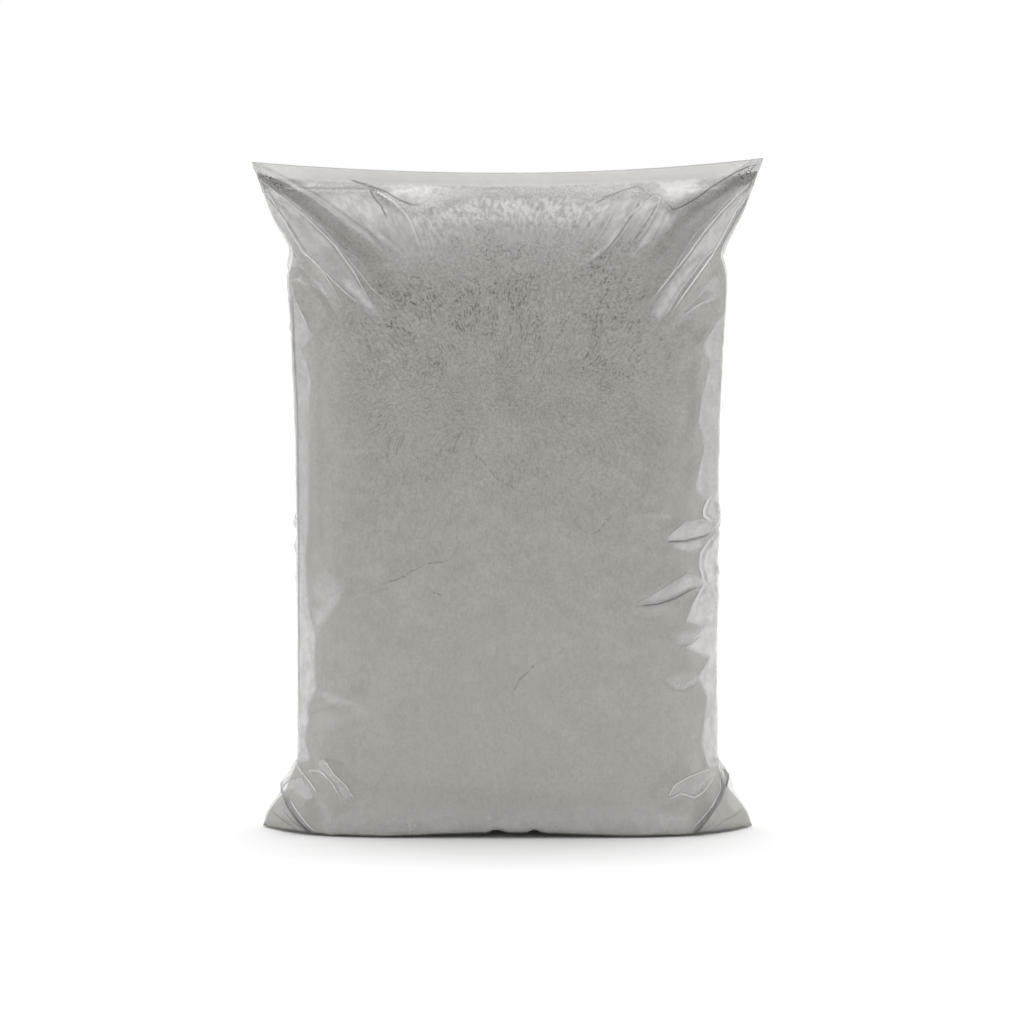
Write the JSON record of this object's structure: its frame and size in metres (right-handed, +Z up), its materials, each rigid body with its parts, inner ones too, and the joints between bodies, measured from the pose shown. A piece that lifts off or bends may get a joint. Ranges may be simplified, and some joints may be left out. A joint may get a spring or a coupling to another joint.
{
  "type": "bag of tile adhesive",
  "caption": "Upright pillow sack of clear plastic film, heat-sealed top and bottom and filled tight with grey tile adhesive powder, with pointed ears at its corners.",
  "frame": {"origin": "on the floor, under the middle of the standing sack", "axes": "+Z up towards the top weld, +X to the right across the face, +Y from the front to the back"},
  "size_m": [0.4, 0.1414, 0.5255],
  "materials": {
    "clear_film": "clear glossy polyethylene film, creased, milky at its welds",
    "powder": "matte warm grey powder, packed and finely cracked"
  },
  "bodies": {
    "root": {"film_sack": "clear_film", "adhesive_powder": "powder"}
  },
  "joints": []
}
